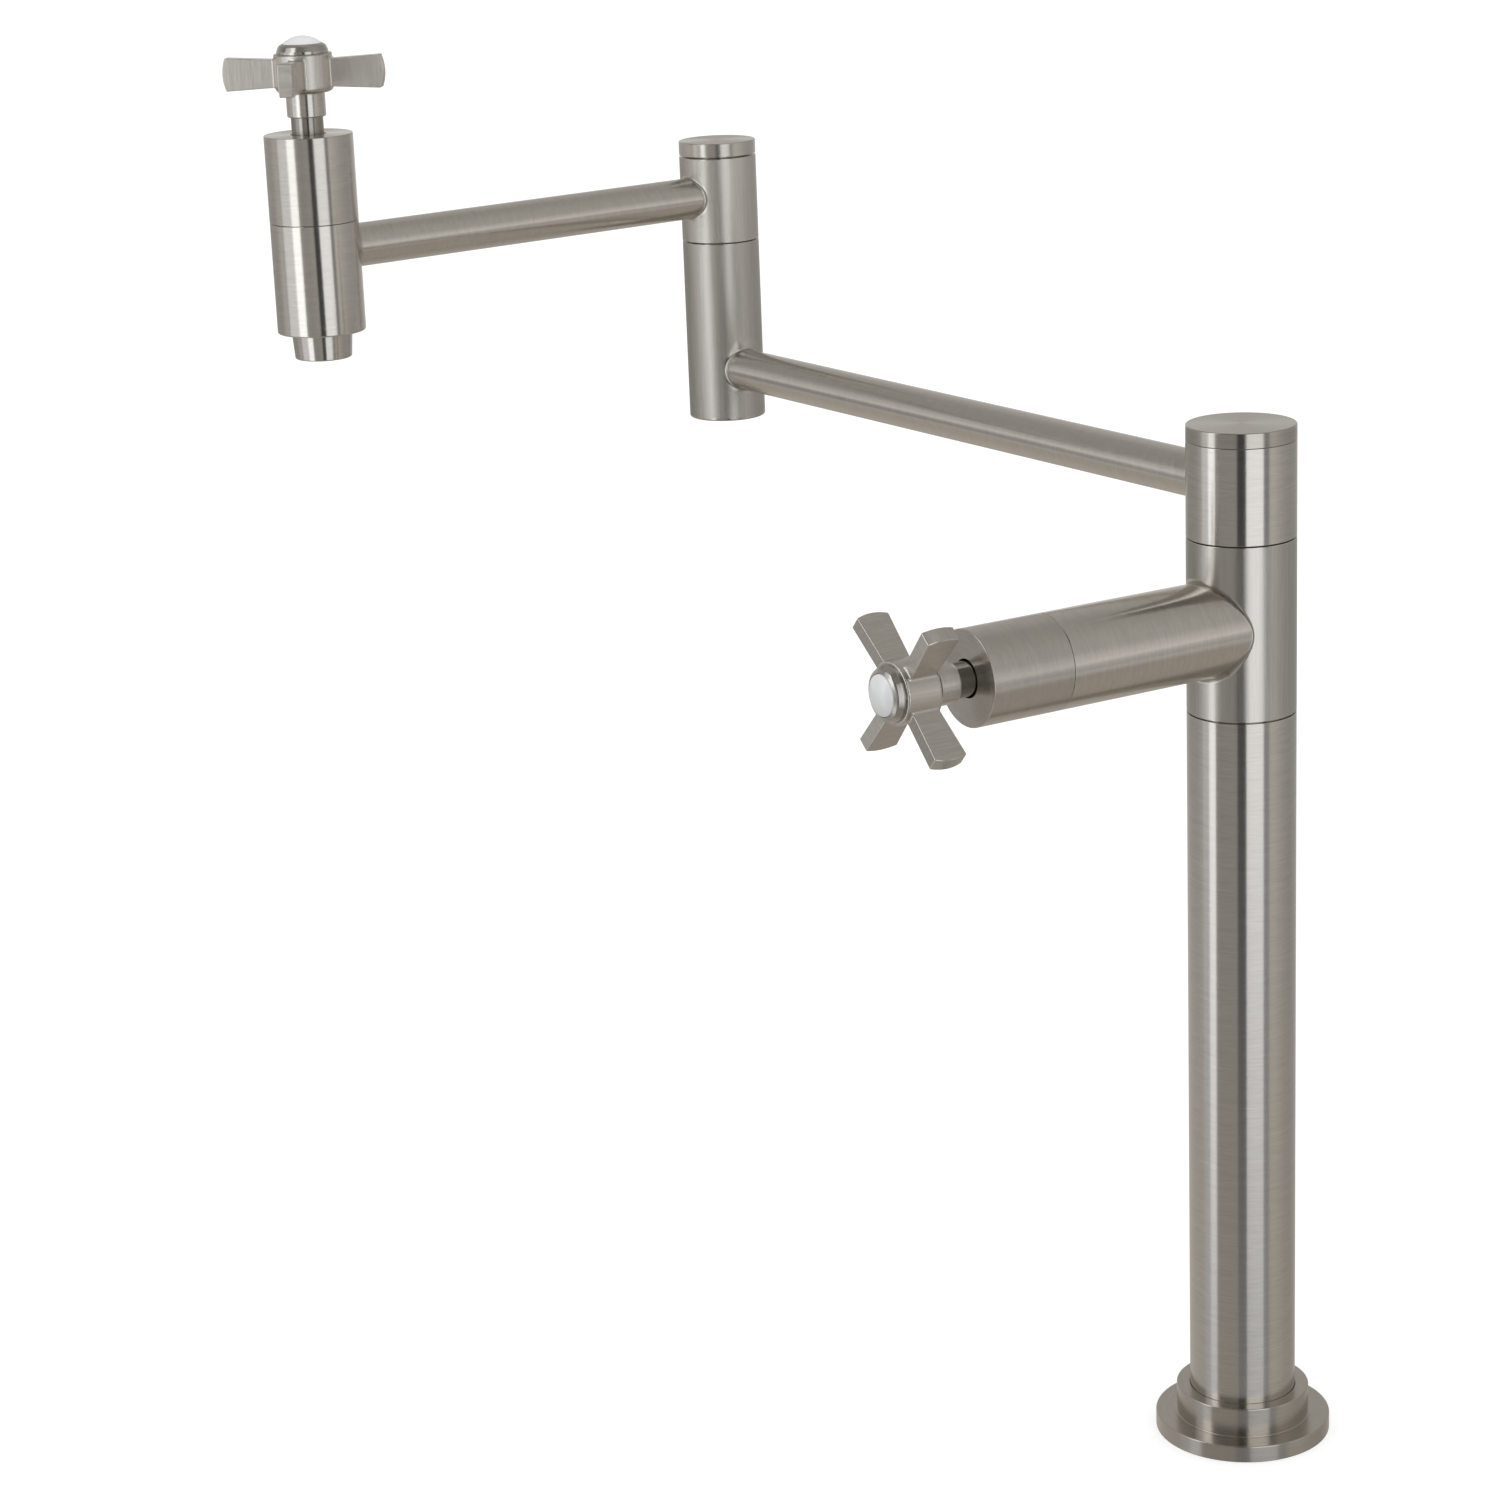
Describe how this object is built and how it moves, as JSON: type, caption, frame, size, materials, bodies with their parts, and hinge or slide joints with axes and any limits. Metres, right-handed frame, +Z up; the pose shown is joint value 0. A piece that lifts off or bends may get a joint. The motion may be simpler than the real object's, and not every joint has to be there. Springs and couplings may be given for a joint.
{
  "type": "deck-mounted pot filler",
  "caption": "Tall deck-mounted pot filler: a round column with a side valve, two jointed swing arms and a spout with its own cross-handle valve.",
  "frame": {"origin": "centre of the flange's underside, on the deck and on the column's axis", "axes": "+Z up along the column, the column valve points along -Y to the user, the lower arm lies to the -X side in the stored pose"},
  "size_m": [0.3683, 0.2582, 0.5696],
  "materials": {
    "brushed_nickel": "satin",
    "polished_nickel": "polished",
    "brass": "satin",
    "rubber": "matte",
    "disc_ceramic": "satin",
    "porcelain": "gloss",
    "plain_steel": "satin",
    "aerator_plastic": "satin",
    "slip_plastic": "satin"
  },
  "bodies": {
    "column": {"deck_flange": "brushed_nickel", "deck_gasket": "rubber", "threaded_shank": "brass", "deck_rubber_washer": "rubber", "deck_clamp_washer": "plain_steel", "deck_nut": "brass", "column_base_plug": "brass", "column_tube": "brushed_nickel", "column_joint_o_ring": "rubber", "valve_body": "brushed_nickel", "column_valve_seat_seal": "rubber", "column_valve_fixed_disc": "disc_ceramic", "column_valve_cartridge_body": "brass", "column_valve_sleeve": "brushed_nickel", "column_swivel_post": "brass", "column_swivel_o_rings": "rubber", "column_swivel_washer": "slip_plastic", "column_swivel_clip": "plain_steel"},
    "lower_arm": {"column_swivel_head": "brushed_nickel", "column_cap": "brushed_nickel", "lower_arm_tube": "brushed_nickel", "elbow_lower_body": "brushed_nickel", "elbow_swivel_post": "brass", "elbow_swivel_o_rings": "rubber", "elbow_swivel_washer": "slip_plastic", "elbow_swivel_clip": "plain_steel"},
    "upper_arm": {"elbow_swivel_head": "brushed_nickel", "elbow_cap": "brushed_nickel", "upper_arm_tube": "brushed_nickel", "spout_body": "brushed_nickel", "spout_nozzle": "brushed_nickel", "aerator_insert": "aerator_plastic", "aerator_washer": "rubber", "spout_valve_seat_seal": "rubber", "spout_valve_fixed_disc": "disc_ceramic", "spout_valve_cartridge_body": "brass", "spout_valve_sleeve": "brushed_nickel"},
    "column_handle": {"column_valve_moving_disc": "disc_ceramic", "column_valve_stem": "brushed_nickel", "column_valve_stem_o_ring": "rubber", "column_valve_cross_handle": "brushed_nickel", "column_valve_handle_screw": "plain_steel", "column_valve_index_ring": "polished_nickel", "column_valve_index_button": "porcelain"},
    "spout_handle": {"spout_valve_moving_disc": "disc_ceramic", "spout_valve_stem": "brushed_nickel", "spout_valve_stem_o_ring": "rubber", "spout_valve_cross_handle": "brushed_nickel", "spout_valve_handle_screw": "plain_steel", "spout_valve_index_ring": "polished_nickel", "spout_valve_index_button": "porcelain"}
  },
  "joints": [
    {"name": "lower_arm_swing", "type": "hinge", "parent": "column", "child": "lower_arm", "pos_m": [0, 0, 0.3347], "axis": [0, 0, 1], "continuous": true},
    {"name": "upper_arm_swing", "type": "hinge", "parent": "lower_arm", "child": "upper_arm", "pos_m": [-0.32126, -0.01234, 0.4045], "axis": [0, 0, 1], "continuous": true},
    {"name": "column_valve_turn", "type": "hinge", "parent": "column", "child": "column_handle", "pos_m": [0, -0.1154, 0.3039], "axis": [0, -1, 0], "range_deg": [0, 90]},
    {"name": "spout_valve_turn", "type": "hinge", "parent": "upper_arm", "child": "spout_handle", "pos_m": [-0.30176, -0.20104, 0.4664], "axis": [0, 0, 1], "range_deg": [0, 90]}
  ]
}
